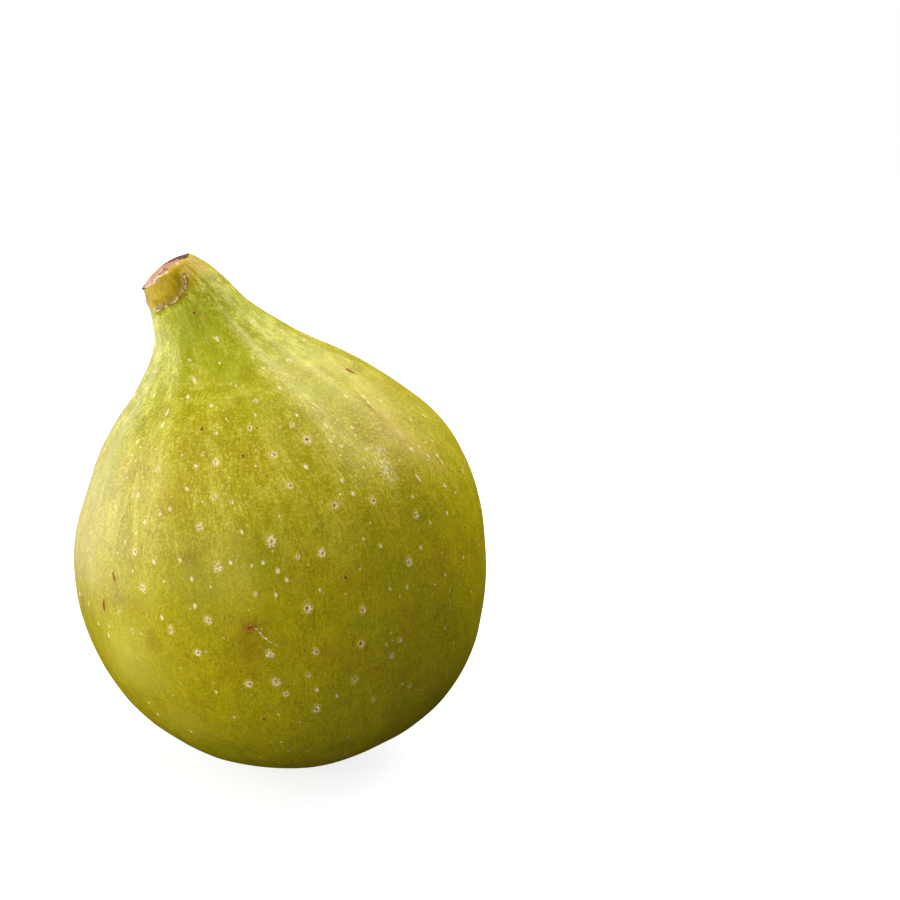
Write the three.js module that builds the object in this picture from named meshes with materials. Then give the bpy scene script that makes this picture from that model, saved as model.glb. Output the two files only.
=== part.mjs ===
// A whole fresh green fig, standing on its base with its neck leaning to the left.
//
// The fruit grew as one body, so it is one solid. From below it has the scaly eye in a
// shallow dimple, the small flat foot where the soft fruit settles on the table, a round
// belly, sloping shoulders with faint ribs, a furrowed neck with the scars of three
// bracts, and the short stub of the stalk, cut off at a slant.
//
// Millimetres, +Z up. The origin is on the table, under the middle of the fruit.
// +X is to the right as the fruit is seen from the front, and -Y is the front.

import * as THREE from "three";
import { mergeVertices } from "three/addons/utils/BufferGeometryUtils.js";

const { clamp, degToRad, lerp, smoothstep } = THREE.MathUtils;

// Driving dimensions

// The line that the fruit grew along, as [x, z], from the eye to the cut of the stalk.
const SPINE = [
  [3.6, -0.6],
  [1.7, 14.4],
  [-1.3, 29.4],
  [-4.85, 41.4],
  [-7.4, 49.4],
  [-10.4, 55.3],
  [-12.55, 58.4],
];

// The outline of the skin, as [radius, distance along the spine], from the rim of the
// eye's dimple up to the rim of the cut.
const OUTLINE = [
  [4.6, 0.2],
  [7.6, 1.2],
  [14.1, 4.5],
  [19.5, 9.6],
  [22.6, 16.2],
  [24.0, 23.2],
  [23.6, 30.3],
  [21.8, 35.9],
  [18.4, 40.9],
  [14.7, 45.5],
  [10.0, 49.5],
  [6.5, 53.5],
  [4.9, 57.4],
  [3.4, 61.5],
];

// The eye is closed by whorls of scales. Each scale's free edge runs from a notch beside
// its neighbour to a tip that points at the middle.
const EYE_DEPTH = 2.0; // from the rim of the dimple to the pore in its middle
const SCALE_WHORLS = [
  { tip: 0.45, notch: 1.2, thickness: 0.42, turn: degToRad(10) },
  { tip: 1.45, notch: 2.4, thickness: 0.36, turn: degToRad(48) },
  { tip: 2.65, notch: 3.7, thickness: 0.3, turn: degToRad(14) },
];
const SCALES_IN_A_WHORL = 5;
const SCALE_EDGE = 0.07; // how steep the free edge is

const CUT_DOME = 0.75; // how far the middle of the torn cut stands above its rim
const CUT_RAGGED = 0.12; // unevenness of the rim

const RIBS = 13;
const RIB_HEIGHT = 0.17;
const OUT_OF_ROUND = 0.3; // broad unevenness of the belly

// Soft bulges and hollows: those on the right of the belly and the neck, and those that
// shape the left of the belly, the shoulder and the neck.
const BULGES = [
  { around: degToRad(-8), station: 31, height: 0.4, length: 6 },
  { around: 0, station: 58.5, height: 0.25, length: 2.5 },
  { around: degToRad(180), station: 40, height: 0.5, length: 6 },
  { around: degToRad(180), station: 47, height: -0.35, length: 3 },
  { around: degToRad(180), station: 52, height: 0.45, length: 3.2 },
  { around: degToRad(180), station: 56.5, height: -0.3, length: 2.5 },
];
const BULGE_SPREAD = degToRad(46);

const FURROW_AROUND = degToRad(-87); // down the front of the neck
const FURROW_WIDTH = degToRad(17);
const FURROW_DEPTH = 0.5;

// Each bract left a U-shaped scar that opens towards the cut and thins out at one side.
// The first faces the front.
const SCARS = [
  { around: degToRad(-112), span: degToRad(55), reach: 2.6, height: 0.3, thins: degToRad(-18) },
  { around: degToRad(64), span: degToRad(36), reach: 2.4, height: 0.16, thins: degToRad(-24) },
  { around: degToRad(142), span: degToRad(40), reach: 2.8, height: 0.22, thins: degToRad(-28) },
];
const SCAR_THINS_OVER = degToRad(14);
const SCAR_WIDTH = 0.34;
const SCAR_TOP = 0.3; // how far below the cut each U begins
const SCAR_SQUARENESS = 2.3; // 2 would make each U half an ellipse

const SIDES = 80;
const RINGS_PER_SPAN = 3;
const STUB_RINGS = 14; // closer rings, which carry the scars

// The spine as a curve, and the leaning fruit's place for a point of a straight one

const spine = new THREE.CatmullRomCurve3(
  SPINE.map(([x, z]) => new THREE.Vector3(x, 0, z)),
  false,
  "catmullrom",
);
const spineLength = spine.getLength();
const [rimRadius, rimStation] = OUTLINE.at(-1);
const [eyeRadius, eyeStation] = OUTLINE[0];

function lean(radius, around, station) {
  const u = clamp(station / spineLength, 0, 1);
  const along = spine.getTangentAt(u);
  const right = new THREE.Vector3(along.z, 0, -along.x);
  const back = new THREE.Vector3(0, 1, 0);
  return spine
    .getPointAt(u)
    .addScaledVector(along, station - u * spineLength)
    .addScaledVector(right, radius * Math.cos(around))
    .addScaledVector(back, radius * Math.sin(around));
}

// Relief: how far the skin stands out from the plain outline

function turnFrom(around, middle) {
  return Math.atan2(Math.sin(around - middle), Math.cos(around - middle));
}

function hump(offset) {
  return Math.exp(-offset * offset);
}

function ribs(around, station) {
  const strength = smoothstep(station, 6, 34) * (1 - smoothstep(station, 50, 58));
  const wave = Math.cos(RIBS * around + 0.7) + 0.5 * Math.cos((RIBS + 6) * around - 1.1);
  return RIB_HEIGHT * strength * (wave - 0.7);
}

function belly(around, station) {
  const strength = smoothstep(station, 2, 16) * (1 - smoothstep(station, 38, 52));
  const wave =
    0.6 * Math.cos(3 * around) +
    0.4 * Math.cos(5 * around + 3.7 - station / 9);
  return OUT_OF_ROUND * strength * wave;
}

function bulge(place, around, station) {
  const across = turnFrom(around, place.around) / BULGE_SPREAD;
  const up = (station - place.station) / place.length;
  return place.height * hump(Math.hypot(across, up));
}

function furrow(around, station) {
  const strength = smoothstep(station, 36, 47) * (1 - smoothstep(station, 54, 57.5));
  return -FURROW_DEPTH * strength * hump(turnFrom(around, FURROW_AROUND) / FURROW_WIDTH);
}

// A raised edge with a groove on the side of the stub.
function scar({ around: middle, span, reach, height, thins }, around, station, radius) {
  const below = rimStation - station;
  const turn = turnFrom(around, middle);
  const across = Math.abs(turn) / span;
  const down = Math.max((below - SCAR_TOP) / reach, 0);
  const size = (across ** SCAR_SQUARENESS + down ** SCAR_SQUARENESS) ** (1 / SCAR_SQUARENESS);
  const outside = ((size - 1) * Math.min(reach, span * radius)) / SCAR_WIDTH;
  const fade = smoothstep(below, 0.2, 1.4) * smoothstep(turn, thins - SCAR_THINS_OVER, thins);
  return height * fade * (hump(outside) - 0.7 * hump(outside + 1.7));
}

function relief(around, station, radius) {
  let height =
    ribs(around, station) +
    belly(around, station) +
    furrow(around, station);
  for (const each of BULGES) height += bulge(each, around, station);
  for (const each of SCARS) height += scar(each, around, station, radius);
  return height;
}

// Rings of points, from the middle of the eye to the middle of the cut. Each ring is a
// function that gives the radius and the station at an angle.

function eyeRings() {
  const floor = (radius) => eyeStation + EYE_DEPTH * (1 - (radius / eyeRadius) ** 2);
  const rings = [() => [SCALE_WHORLS[0].tip / 2, floor(0)]];
  for (const { tip, notch, thickness, turn } of SCALE_WHORLS) {
    const edge = (around) => {
      const beside = Math.abs(Math.sin((SCALES_IN_A_WHORL / 2) * (around - turn)));
      return lerp(tip, notch, beside ** 4);
    };
    const top = (radius) => [radius, floor(radius) - thickness];
    rings.push(
      (around) => [edge(around), floor(edge(around))],
      (around) => top(edge(around) + SCALE_EDGE),
      (around) => top(lerp(edge(around), notch, 0.7) + SCALE_EDGE * 2),
    );
  }
  return rings;
}

function skinRings() {
  const curve = new THREE.SplineCurve(
    OUTLINE.map(([radius, station]) => new THREE.Vector2(radius, station)),
  );
  const spans = OUTLINE.length - 1;
  const rings = [];
  for (let span = 0; span < spans; span++) {
    const count = span === spans - 1 ? STUB_RINGS : RINGS_PER_SPAN;
    for (let ring = 0; ring < count; ring++) {
      const { x, y } = curve.getPoint((span + ring / count) / spans);
      rings.push((around) => [x + relief(around, y, x), y]);
    }
  }
  return rings;
}

function cutRings() {
  const torn = (around) => CUT_RAGGED * Math.sin(7 * around) * Math.cos(4 * around + 1);
  return [1, 0.93, 0.8, 0.6, 0.35].map((share) => {
    const rise = CUT_DOME * (1 - share ** 2);
    return (around) => [rimRadius * share, rimStation + rise + torn(around) * share];
  });
}

// The skin is a net of four-sided cells between the rings, closed by a fan at each end.
// What would sink below the table is pressed flat, which gives the fruit its foot.
function wholeFruit() {
  const rings = [...eyeRings(), ...skinRings(), ...cutRings()];
  const points = [lean(0, 0, eyeStation + EYE_DEPTH)];
  for (const ring of rings) {
    for (let side = 0; side < SIDES; side++) {
      const around = (2 * Math.PI * side) / SIDES;
      points.push(lean(...spread(ring, around)));
    }
  }
  points.push(lean(0, 0, rimStation + CUT_DOME));
  for (const point of points) point.z = Math.max(point.z, 0);

  const faces = [];
  const at = (ring, side) => 1 + ring * SIDES + (side % SIDES);
  const last = points.length - 1;
  for (let side = 0; side < SIDES; side++) {
    faces.push(0, at(0, side + 1), at(0, side));
    for (let ring = 0; ring < rings.length - 1; ring++) {
      const [a, b] = [at(ring, side), at(ring, side + 1)];
      const [c, d] = [at(ring + 1, side + 1), at(ring + 1, side)];
      faces.push(a, b, c, a, c, d);
    }
    faces.push(at(rings.length - 1, side), at(rings.length - 1, side + 1), last);
  }
  const geometry = new THREE.BufferGeometry().setFromPoints(points).setIndex(faces);
  return mergeVertices(geometry, 1e-3);
}

function spread(ring, around) {
  const [radius, station] = ring(around);
  return [radius, around, station];
}

const skin = new THREE.MeshStandardMaterial({
  color: 0xb5a832,
  roughness: 0.5,
  metalness: 0,
});

const geometry = wholeFruit();
geometry.computeBoundingBox();
const middle = geometry.boundingBox.getCenter(new THREE.Vector3());
geometry.translate(-middle.x, -middle.y, 0);
geometry.computeVertexNormals();

const fruit = new THREE.Mesh(geometry, skin);
fruit.name = "fig";

const fig = new THREE.Group();
fig.add(fruit);

export default fig;
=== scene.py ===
# A fresh green fig, finished round its solid.
#
# The skin is a finer copy of the solid, with wrinkles down the neck and a soft waxy
# finish. On it lie the torn cut of the stalk and the specks of cork that a fig gets as it
# grows. Lengths are in metres and +Z is up, as in the frame. Places on the fruit are given
# as it grew: how far along its spine from the eye, and the angle round that spine.

import math
import random

import bpy
import numpy as np
from bpy.props import FloatProperty, FloatVectorProperty, IntProperty, PointerProperty
from mathutils import Matrix, Vector, noise


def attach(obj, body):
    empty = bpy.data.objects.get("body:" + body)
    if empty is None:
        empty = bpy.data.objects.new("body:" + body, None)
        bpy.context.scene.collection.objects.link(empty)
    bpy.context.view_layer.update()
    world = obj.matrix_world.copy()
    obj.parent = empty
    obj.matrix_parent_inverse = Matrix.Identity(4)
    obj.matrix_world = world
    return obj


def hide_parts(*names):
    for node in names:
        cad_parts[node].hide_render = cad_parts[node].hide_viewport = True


bl_info = {
    "name": "Fresh Fig",
    "version": (1, 0, 0),
    "blender": (4, 5, 0),
    "location": "3D View > Sidebar > Fig",
    "description": "Finishes a fresh green fig with its skin, cut stalk and specks",
    "category": "Object",
}

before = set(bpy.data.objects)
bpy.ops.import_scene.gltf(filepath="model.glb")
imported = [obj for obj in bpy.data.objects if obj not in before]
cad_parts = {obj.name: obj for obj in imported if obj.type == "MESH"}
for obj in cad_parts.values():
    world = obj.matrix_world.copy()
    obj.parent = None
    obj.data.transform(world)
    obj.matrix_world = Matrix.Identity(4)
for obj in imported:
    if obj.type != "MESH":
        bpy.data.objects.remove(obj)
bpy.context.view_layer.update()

MM = 0.001

# The line that the fruit grew along, from the eye to the cut, as (x, z).
SPINE = [
    (3.38 * MM, -0.6 * MM),
    (1.48 * MM, 14.4 * MM),
    (-1.52 * MM, 29.4 * MM),
    (-5.07 * MM, 41.4 * MM),
    (-7.62 * MM, 49.4 * MM),
    (-10.62 * MM, 55.3 * MM),
    (-12.77 * MM, 58.4 * MM),
]
SPINE_Y = 0.2 * MM
CUT_ALONG = 61.5 * MM  # from the eye to the rim of the cut
CUT_RADIUS = 3.4 * MM
CUT_DOME = 0.75 * MM
GROWTH_STEP = 30 * MM  # distance along the spine that counts as 1 in the skin's patterns
EYE_RADIUS = 4.6 * MM
EYE_TOP = 5 * MM  # nothing above this height belongs to the eye
BELLY_MIDDLE = Vector((0, 0, 28 * MM))

# How far below the cut the colour of the stub begins, and where it is full
STUB_COLOUR = (3.0 * MM, 1.3 * MM)

# Bract scars, as on the solid: middle angle, half width as an angle, how far down, and the
# turn past which the scar thins out.
SCARS = [
    (math.radians(-112), math.radians(55), 2.6 * MM, math.radians(-18)),
    (math.radians(64), math.radians(36), 2.4 * MM, math.radians(-24)),
    (math.radians(142), math.radians(40), 2.8 * MM, math.radians(-28)),
]
SCAR_THINS_OVER = math.radians(14)
SCAR_TOP = 0.3 * MM
SCAR_WIDTH = 0.34 * MM
SCAR_SQUARENESS = 2.3
SCAR_FADE = (0.2 * MM, 1.4 * MM)  # distances below the cut over which a scar comes in

# The photograph's camera, fitted to the fruit's outline. Pixels are of its 900 by 900.
LENS = 0.1
SENSOR = 0.036
PHOTO_SIDE = 900
CAMERA_TARGET = Vector((19.72 * MM, 0.2 * MM, 37.11 * MM))
CAMERA_DISTANCE = 291 * MM
CAMERA_ELEVATION = math.radians(15)

# Marks on the front, as (kind, pixel across, pixel down, width in mm), and for some the turn
# from the way that the fruit grew, in degrees.
MARKS = [
    ("star", 218, 567, 0.95),
    ("crater", 307, 440, 1.1),
    ("crater", 308, 608, 1.05),
    ("crater", 322, 553, 0.95),
    ("star", 271, 541, 1.1),
    ("crater", 335, 505, 0.95),
    ("crater", 361, 644, 1.0),
    ("crater", 317, 709, 0.95),
    ("crater", 363, 610, 0.85),
    ("crater", 316, 652, 0.8),
    ("bruise", 250, 628, 0.9),
    ("crater", 249, 684, 0.9),
    ("star", 276, 682, 1.0),
    ("star", 270, 654, 0.85),
    ("crater", 286, 694, 0.7),
    ("crater", 309, 675, 0.65),
    ("star", 355, 680, 0.85),
    ("crater", 374, 699, 0.65),
    ("crater", 409, 562, 0.9),
    ("crater", 400, 640, 0.65),
    ("star", 392, 656, 0.65),
    ("crater", 410, 686, 0.6),
    ("crater", 274, 455, 0.85),
    ("crater", 290, 486, 0.8),
    ("crater", 256, 401, 0.6),
    ("crater", 250, 428, 0.75),
    ("star", 292, 425, 0.6),
    ("crater", 373, 501, 0.85),
    ("crater", 416, 515, 0.8),
    ("star", 208, 620, 0.8),
    ("star", 171, 630, 0.85),
    ("star", 143, 588, 0.85),
    ("crater", 133, 632, 0.6),
    ("crater", 135, 552, 0.75),
    ("star", 200, 527, 0.85),
    ("star", 216, 462, 0.75),
    ("star", 214, 497, 0.7),
    ("crater", 232, 502, 0.5),
    ("crater", 203, 454, 0.5),
    ("star", 158, 470, 0.7),
    ("star", 138, 495, 0.6),
    ("crater", 198, 653, 0.8),
    ("crater", 256, 594, 0.5),
    ("crater", 298, 557, 0.55),
    ("star", 160, 514, 0.45),
    ("star", 170, 509, 0.4),
    ("star", 289, 361, 0.7),
    ("dot", 202, 429, 0.55),
    ("dot", 243, 456, 0.45),
    ("dot", 194, 313, 0.4),
    ("dot", 346, 578, 0.5),
    ("dot", 264, 719, 0.45),
    ("dot", 257, 428, 0.3),
    ("dash", 114, 577, 0.5),
    ("dash", 104, 605, 0.6),
    ("dash", 350, 371, 0.6),
    ("fleck", 163, 425, 0.5),
    ("fleck", 279, 388, 0.35),
    ("fleck", 242, 532, 0.35),
    ("fleck", 263, 563, 0.35),
    ("fleck", 276, 595, 0.35),
    ("fleck", 154, 562, 0.4),
    ("fleck", 180, 560, 0.4),
    ("fleck", 192, 579, 0.35),
    ("fleck", 195, 606, 0.4),
    ("fleck", 162, 618, 0.4),
    ("fleck", 188, 397, 0.35),
    ("fleck", 211, 406, 0.35),
    ("fleck", 195, 380, 0.35),
    ("fleck", 217, 338, 0.35),
    ("fleck", 255, 321, 0.35),
    ("fleck", 187, 489, 0.35),
    ("fleck", 145, 522, 0.4),
    ("fleck", 341, 446, 0.35),
    ("fleck", 353, 494, 0.4),
    ("fleck", 342, 481, 0.35),
    ("fleck", 306, 467, 0.45),
    ("fleck", 352, 428, 0.35),
    ("fleck", 287, 580, 0.4),
    ("fleck", 278, 571, 0.45),
    ("fleck", 320, 590, 0.3),
    ("fleck", 317, 690, 0.45),
    ("fleck", 337, 696, 0.35),
    ("fleck", 390, 589, 0.3),
    ("fleck", 88, 550, 0.4),
    ("fleck", 89, 604, 0.4),
    ("fleck", 138, 441, 0.4),
    ("scratch", 256, 629, 0.12, 45),
    ("scratch", 260, 633, 0.13, 38),
    ("scratch", 265, 638, 0.2, 45),
    ("scratch", 270, 642, 0.13, 50),
    ("scratch", 276, 645, 0.11, 62),
    ("scrape", 355, 392, 0.1),
    ("scrape", 359, 397, 0.13),
    ("scrape", 364, 401, 0.14),
    ("scrape", 369, 407, 0.14),
    ("scrape", 374, 412, 0.13),
    ("scrape", 380, 418, 0.1),
    # These three cream scratches down the middle of the scrape are a painted highlight
    ("scratch", 363, 397, 0.16),
    ("scratch", 368, 402, 0.2),
    ("scratch", 373, 407, 0.14),
    ("scratch", 437, 455, 0.22),
    ("scratch", 442, 462, 0.2),
    ("scratch", 412, 449, 0.18),
    ("scratch", 419, 447, 0.16),
    ("scratch", 428, 456, 0.18),
    ("scratch", 194, 380, 0.3),
    ("scratch", 216, 339, 0.26, 25),
    ("scratch", 236, 386, 0.14),
    ("scratch", 252, 358, 0.13),
    ("scratch", 263, 368, 0.14),
    ("scratch", 315, 405, 0.26),
    ("scratch", 326, 426, 0.24),
    ("scratch", 418, 478, 0.3),
    ("scratch", 167, 413, 0.3),
]

# Soft patches on the front, as (kind, pixel across, pixel down, radius in mm, strength). The pale
# patches are partly paler skin and partly painted light, and the deep ones partly darker skin and
# partly painted shade.
PATCHES = [
    ("bruise", 248, 628, 0.7, 1.0),
    ("bruise", 253, 627, 0.6, 0.9),
    ("bruise", 248, 630, 1.8, 0.45),
    ("bruise", 246, 640, 1.5, 0.5),
    ("bruise", 251, 652, 2.0, 0.5),
    ("bruise", 250, 672, 1.6, 0.35),
    ("bruise", 188, 560, 1.0, 0.3),
    ("bruise", 151, 642, 1.2, 0.35),
    ("bruise", 118, 596, 1.5, 0.25),
    ("bruise", 134, 560, 1.5, 0.15),
    ("bruise", 325, 371, 1.0, 0.25),
    ("bruise", 237, 400, 0.6, 0.35),
    ("bruise", 321, 415, 0.5, 0.35),
    ("russet", 352, 389, 0.5, 0.5),
    ("russet", 358, 394, 0.6, 0.7),
    ("russet", 365, 400, 0.6, 0.8),
    ("russet", 372, 408, 0.6, 0.9),
    ("russet", 379, 415, 0.7, 0.8),
    ("russet", 387, 423, 0.8, 0.7),
    ("russet", 395, 431, 0.8, 0.6),
    ("russet", 438, 456, 0.7, 0.6),
    ("chafe", 372, 398, 1.2, 0.5),
    ("chafe", 386, 414, 1.4, 0.7),
    ("chafe", 399, 432, 1.6, 0.8),
    ("chafe", 412, 444, 1.8, 0.8),
    ("chafe", 427, 455, 1.6, 0.8),
    ("chafe", 440, 468, 1.2, 0.5),
    ("scuff", 380, 453, 1.2, 0.9),
    ("scuff", 385, 464, 1.3, 1.0),
    ("scuff", 389, 474, 1.2, 1.0),
    ("scuff", 392, 482, 0.9, 0.6),
    ("scuff", 370, 446, 0.8, 0.5),
    ("scuff", 368, 470, 1.4, 0.3),
    ("scuff", 402, 462, 1.6, 0.3),
    # Pale: paler skin, and in part painted light, strongest low on the left and on the right
    # shoulder
    ("pale", 383, 462, 2.0, 0.45),
    ("pale", 262, 340, 2.6, 0.35),
    ("pale", 290, 362, 3.4, 0.5),
    ("pale", 325, 392, 3.6, 0.5),
    ("pale", 335, 366, 2.6, 0.6),
    ("pale", 362, 386, 2.6, 0.7),
    ("pale", 384, 404, 2.0, 0.3),
    ("pale", 228, 378, 1.0, 0.5),
    ("pale", 237, 393, 0.9, 0.5),
    ("pale", 165, 384, 2.2, 0.25),
    ("pale", 160, 440, 3.0, 0.3),
    ("pale", 166, 478, 2.6, 0.35),
    ("pale", 92, 590, 4.0, 0.35),
    ("pale", 128, 655, 5.0, 0.85),
    ("pale", 178, 718, 4.0, 0.25),
    ("pale", 140, 594, 3.0, 0.35),
    ("green", 186, 318, 2.6, 0.6),
    ("green", 202, 338, 3.4, 0.9),
    ("green", 222, 362, 3.6, 0.7),
    ("green", 205, 395, 3.4, 0.35),
    ("green", 250, 395, 3.0, 0.4),
    # Deep: darker skin, and in part painted shade, down the furrow of the neck, over the middle of
    # the belly and towards the right
    ("deep_and_shaded", 192, 324, 2.0, 0.3),
    ("deep_and_shaded", 238, 376, 1.8, 0.3),
    ("deep_and_shaded", 262, 408, 2.0, 0.35),
    ("deep_and_shaded", 284, 438, 2.2, 0.35),
    ("deep_and_shaded", 302, 460, 2.6, 0.3),
    ("deep_and_shaded", 224, 372, 2.2, 0.25),
    ("deep_and_shaded", 256, 560, 4.0, 0.5),
    ("deep_and_shaded", 376, 560, 3.4, 0.25),
    ("deep_and_shaded", 262, 622, 4.0, 0.25),
    ("deep_and_shaded", 205, 585, 4.0, 0.45),
    ("deep_and_shaded", 300, 432, 2.6, 0.2),
]


def linear(code):
    """The linear colour of an sRGB hex code."""
    channels = [int(code[i : i + 2], 16) / 255 for i in (0, 2, 4)]
    return [c / 12.92 if c <= 0.04045 else ((c + 0.055) / 1.055) ** 2.4 for c in channels]


def rgba(colour):
    return (*colour, 1.0)


class FigSizes(bpy.types.PropertyGroup):
    wrinkle: FloatProperty(
        name="Wrinkle height",
        description="Height of the soft wrinkles that run down the neck",
        default=0.05 * MM,
        unit="LENGTH",
    )
    swell: FloatProperty(
        name="Swell height",
        description="Height of the broad soft unevenness of the skin",
        default=0.12 * MM,
        unit="LENGTH",
    )
    pebble: FloatProperty(
        name="Pebble height",
        description="Height of the fine unevenness of the skin",
        default=0.012 * MM,
        unit="LENGTH",
    )
    scar: FloatProperty(
        name="Scar height",
        description="Height of the cork on the scars of the bracts",
        default=0.1 * MM,
        unit="LENGTH",
    )
    tear: FloatProperty(
        name="Tear height",
        description="Unevenness of the torn cut of the stalk",
        default=0.07 * MM,
        unit="LENGTH",
    )
    speck_height: FloatProperty(
        name="Speck height",
        description="How far the largest specks of cork stand out of the skin",
        default=0.05 * MM,
        unit="LENGTH",
    )
    specks_elsewhere: IntProperty(
        name="Specks elsewhere",
        description="Number of specks scattered over the rest of the skin",
        default=260,
    )


class FigColours(bpy.types.PropertyGroup):
    green: FloatVectorProperty(
        name="Green",
        description="Skin of the neck",
        subtype="COLOR",
        default=linear("a7a50c"),
    )
    yellow: FloatVectorProperty(
        name="Yellow",
        description="Skin of the belly",
        subtype="COLOR",
        default=linear("aa9c04"),
    )
    pale: FloatVectorProperty(
        name="Pale streaks",
        description="Streaks down the neck",
        subtype="COLOR",
        default=linear("d0cb5e"),
    )
    russet: FloatVectorProperty(
        name="Russet",
        description="Rubbed brown skin",
        subtype="COLOR",
        default=linear("9a6420"),
    )
    cork: FloatVectorProperty(
        name="Cork",
        description="Crumbs of cork on the skin",
        subtype="COLOR",
        default=linear("faf2cc"),
    )
    wood: FloatVectorProperty(
        name="Wood",
        description="Dry cut of the stalk",
        subtype="COLOR",
        default=linear("bd8468"),
    )
    bark: FloatVectorProperty(
        name="Dark cork",
        description="Dried edge of the cut",
        subtype="COLOR",
        default=linear("542c0c"),
    )
    pit: FloatVectorProperty(
        name="Pits",
        description="Brown pits in the specks",
        subtype="COLOR",
        default=linear("74360a"),
    )


# The straightened fruit


def spine_samples(count_each=60):
    """Points along the spine, with the distance and the direction at each."""
    ends = np.array(SPINE)
    ends = np.vstack([2 * ends[0] - ends[1], ends, 2 * ends[-1] - ends[-2]])
    points = []
    for i in range(1, len(ends) - 2):
        a, b, c, d = ends[i - 1 : i + 3]
        for t in np.arange(count_each) / count_each:
            points.append(
                0.5
                * (
                    2 * b
                    + (c - a) * t
                    + (2 * a - 5 * b + 4 * c - d) * t**2
                    + (3 * b - a - 3 * c + d) * t**3
                )
            )
    points.append(ends[-2])
    flat = np.array(points)
    centres = np.column_stack([flat[:, 0], np.full(len(flat), SPINE_Y), flat[:, 1]])
    steps = np.diff(centres, axis=0)
    lengths = np.linalg.norm(steps, axis=1)
    along = np.concatenate([[0], np.cumsum(lengths)])
    directions = np.gradient(centres, axis=0)
    directions /= np.linalg.norm(directions, axis=1)[:, None]
    return centres, along, directions


def grown_place(points):
    """How far along the spine each point is, its angle round it and its distance off it."""
    centres, along, directions = spine_samples()
    squares = (centres**2).sum(1)[None, :] - 2 * points @ centres.T
    nearest = squares.argmin(1)
    away = points - centres[nearest]
    direction = directions[nearest]
    ahead = (away * direction).sum(1)
    right = away[:, 0] * direction[:, 2] - away[:, 2] * direction[:, 0]
    return along[nearest] + ahead, np.arctan2(away[:, 1], right), np.hypot(right, away[:, 1])


def growth_ring(along, around):
    """The place on the straightened fruit that the patterns of growth read."""
    return np.column_stack([np.cos(around), np.sin(around), along / GROWTH_STEP])


def spine_point(station):
    """The spine's point and direction at a distance from the eye."""
    centres, along, directions = spine_samples()
    i = int(np.searchsorted(along, min(station, along[-1])))
    i = min(i, len(along) - 1)
    direction = Vector(directions[i])
    return Vector(centres[i]) + direction * (station - along[i]), direction


def smoothstep(low, high, x):
    t = np.clip((x - low) / (high - low), 0, 1)
    return t * t * (3 - 2 * t)


def hump(offset):
    return np.exp(-offset * offset)


# Modelling


def select_only(piece):
    bpy.ops.object.select_all(action="DESELECT")
    piece.select_set(True)
    bpy.context.view_layer.objects.active = piece


def apply_modifier(piece, kind, **settings):
    modifier = piece.modifiers.new(kind.title(), kind)
    for name, value in settings.items():
        setattr(modifier, name, value)
    select_only(piece)
    bpy.ops.object.modifier_apply(modifier=modifier.name)


def vertices_of(piece):
    points = np.zeros(len(piece.data.vertices) * 3)
    piece.data.vertices.foreach_get("co", points)
    return points.reshape(-1, 3)


def normals_of(piece):
    normals = np.zeros(len(piece.data.vertices) * 3)
    piece.data.vertex_normals.foreach_get("vector", normals)
    return normals.reshape(-1, 3)


def place_vertices(piece, points):
    piece.data.vertices.foreach_set("co", points.ravel())
    piece.data.update()


def write_attribute(piece, name, values, kind="FLOAT"):
    attribute = piece.data.attributes.new(name, kind, "POINT")
    key = "vector" if kind == "FLOAT_VECTOR" else "value"
    attribute.data.foreach_set(key, np.asarray(values, np.float32).ravel())


def finish_piece(piece, material):
    piece.data.materials.clear()
    piece.data.materials.append(material)
    select_only(piece)
    bpy.ops.object.shade_smooth()
    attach(piece, "root")


def camera_axes():
    back = Vector((0, -math.cos(CAMERA_ELEVATION), math.sin(CAMERA_ELEVATION)))
    right = Vector((1, 0, 0))
    return CAMERA_TARGET + back * CAMERA_DISTANCE, right, back.cross(right), back


def skin_under_pixel(skin, across, down):
    """The skin's point and normal under a pixel of the photograph."""
    eye, right, up, back = camera_axes()
    pixel = SENSOR / LENS / PHOTO_SIDE
    middle = PHOTO_SIDE / 2
    ray = right * ((across - middle) * pixel) - up * ((down - middle) * pixel) - back
    hit, point, normal, _ = skin.ray_cast(eye, ray.normalized())
    if not hit:
        raise RuntimeError(f"no skin lies under pixel {across}, {down}")
    return point, normal


def scar_profiles(along, around, off):
    """How strongly each point lies on the edge of a scar, in its groove, and inside it."""
    below = CUT_ALONG - along
    edge = np.zeros(len(along))
    groove = np.zeros(len(along))
    inside = np.zeros(len(along))
    for middle, span, reach, thins in SCARS:
        turn = np.arctan2(np.sin(around - middle), np.cos(around - middle))
        across = np.abs(turn) / span
        down = np.maximum((below - SCAR_TOP) / reach, 0)
        size = (across**SCAR_SQUARENESS + down**SCAR_SQUARENESS) ** (1 / SCAR_SQUARENESS)
        outside = (size - 1) * np.minimum(reach, span * off) / SCAR_WIDTH
        fade = smoothstep(*SCAR_FADE, below)
        fade = fade * smoothstep(thins - SCAR_THINS_OVER, thins, turn)
        edge = np.maximum(edge, fade * hump(outside * 1.3))
        groove = np.maximum(groove, fade * hump(outside + 1.1))
        inside = np.maximum(inside, smoothstep(1.05, 0.9, size))
    return edge, groove, inside


def layered_noise(points, octaves=2):
    """Smooth noise from about -1 to 1 at each point."""
    total = np.zeros(len(points))
    for octave in range(octaves):
        scaled = points * 2**octave
        total += np.array([noise.noise(p) for p in scaled]) / 2**octave
    return total


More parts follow.
